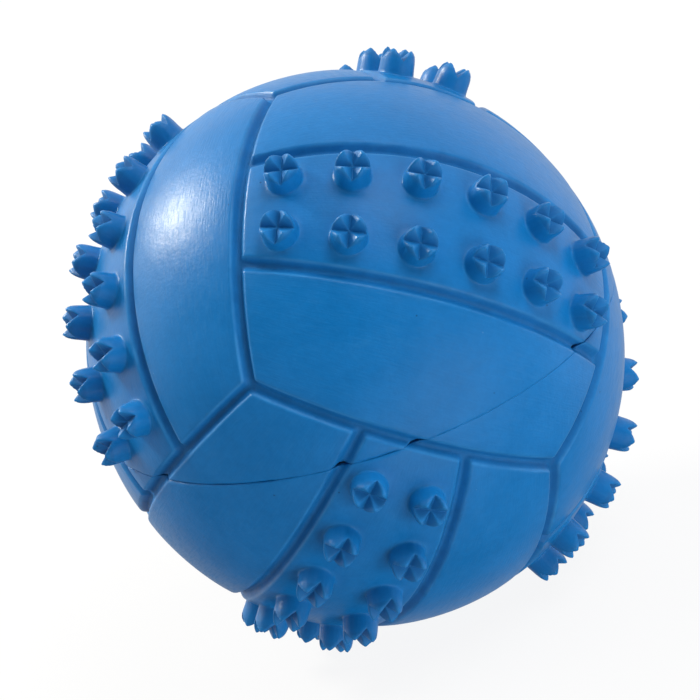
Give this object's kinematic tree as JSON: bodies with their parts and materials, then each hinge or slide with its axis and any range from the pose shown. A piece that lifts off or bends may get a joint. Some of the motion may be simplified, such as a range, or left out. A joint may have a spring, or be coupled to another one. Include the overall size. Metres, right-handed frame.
{
  "type": "rubber ball",
  "caption": "Hollow studded rubber toy ball with moulded panel grooves, two halves bonded round the middle and a loose jingle bell inside.",
  "frame": {"origin": "centre of the ball, in the plane of the bonded seam", "axes": "+Z along the mould axis, square to the seam, through the corner where three smooth panels meet; -Y towards the middle of a studded strip's field on the upper half; +X to the right seen from there"},
  "size_m": [0.0756, 0.0738, 0.0736],
  "materials": {
    "blue_rubber": "semi-gloss, as moulded",
    "cement": "matt",
    "plated_steel": "bright plated",
    "plain_steel": "plain"
  },
  "bodies": {
    "ball": {"upper_half_shell": "blue_rubber", "lower_half_shell": "blue_rubber", "seam_cement": "cement"},
    "bell": {"bell_upper_cup": "plated_steel", "bell_lower_cup": "plated_steel", "bell_loop": "plated_steel"},
    "pea": {"bell_pea": "plain_steel"}
  },
  "joints": [
    {"name": "bell_slide", "type": "slide", "parent": "ball", "child": "bell", "axis": [0, 0, 1], "range_m": [0, 0.03]},
    {"name": "pea_slide", "type": "slide", "parent": "bell", "child": "pea", "axis": [0, 0, 1], "range_m": [0, 0.0125]}
  ]
}
